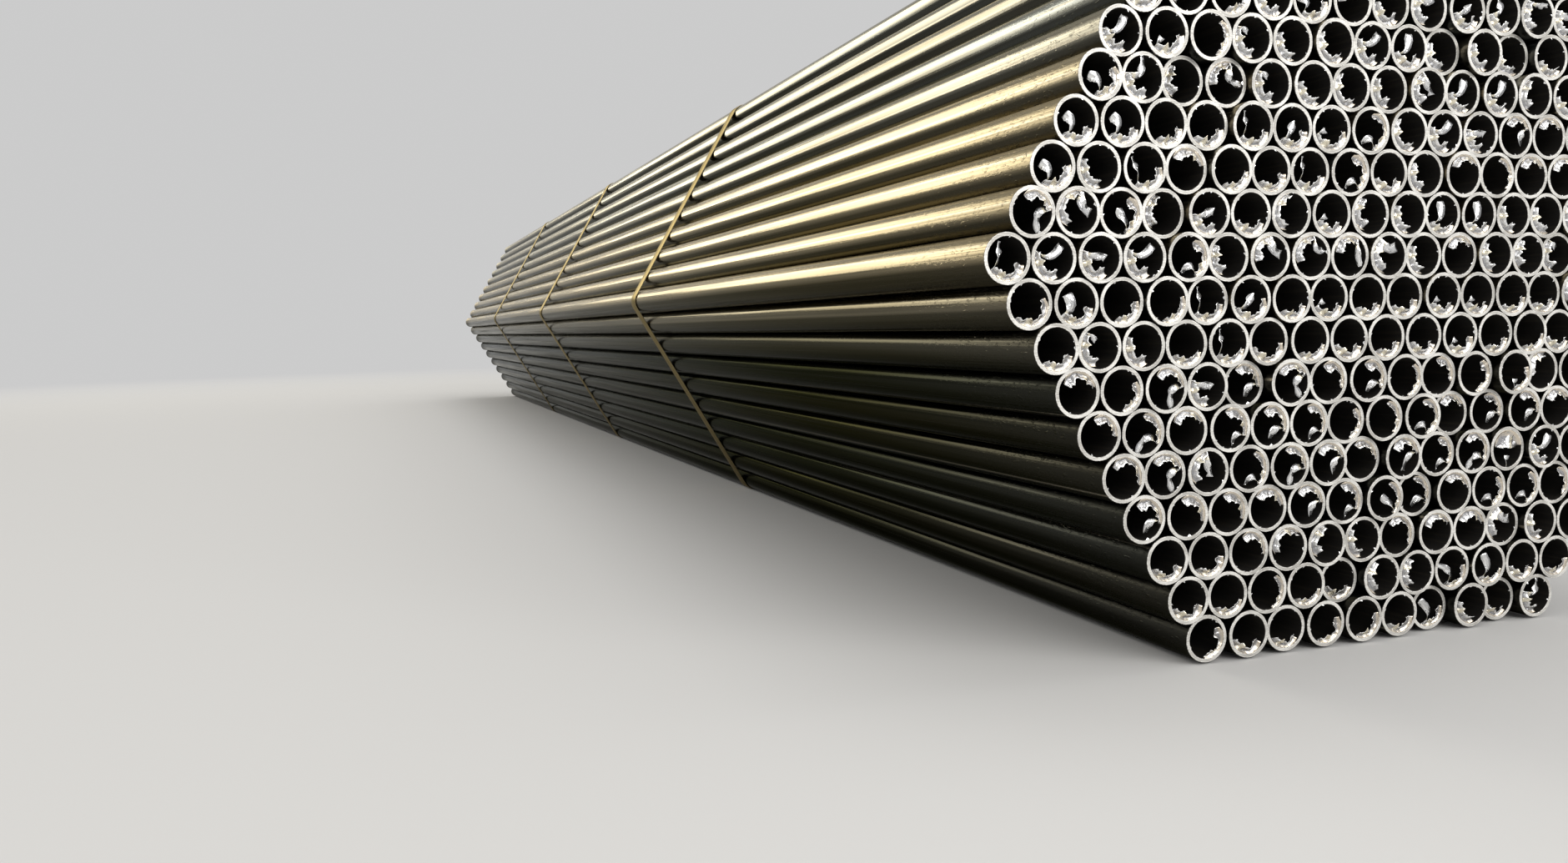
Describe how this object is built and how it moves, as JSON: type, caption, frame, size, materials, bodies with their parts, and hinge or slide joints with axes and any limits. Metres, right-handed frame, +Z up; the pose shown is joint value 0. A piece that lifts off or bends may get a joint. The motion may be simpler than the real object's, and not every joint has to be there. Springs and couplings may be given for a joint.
{
  "type": "bundle of steel pipes",
  "caption": "Hexagonal bundle of thin-walled welded steel tubes with sawn, burred ends, held by flat steel bands with crimped seals.",
  "frame": {"origin": "centre of the bundle's footprint, on the floor that its bands rest on", "axes": "+Y along the tubes, away from the pictured sawn end; +X to the right seen from that end; +Z up"},
  "size_m": [0.4936, 3.0092, 0.4413],
  "materials": {
    "tube_steel": "cold-rolled welded tube, lightly oiled",
    "band_steel": "browned steel strapping, waxed",
    "seal_steel": "zinc-bright pressed sheet"
  },
  "bodies": {
    "root": {"band_seal_1": "seal_steel", "band_seal_2": "seal_steel", "band_seal_3": "seal_steel", "steel_band_1": "band_steel", "steel_band_2": "band_steel", "steel_band_3": "band_steel", "tube_row_01": "tube_steel", "tube_row_02": "tube_steel", "tube_row_03": "tube_steel", "tube_row_04": "tube_steel", "tube_row_05": "tube_steel", "tube_row_06": "tube_steel", "tube_row_07": "tube_steel", "tube_row_08": "tube_steel", "tube_row_09": "tube_steel", "tube_row_10": "tube_steel", "tube_row_11": "tube_steel", "tube_row_12": "tube_steel", "tube_row_13": "tube_steel", "tube_row_14": "tube_steel", "tube_row_15": "tube_steel", "tube_row_16": "tube_steel", "tube_row_17": "tube_steel", "tube_row_18": "tube_steel", "tube_row_19": "tube_steel"}
  },
  "joints": []
}
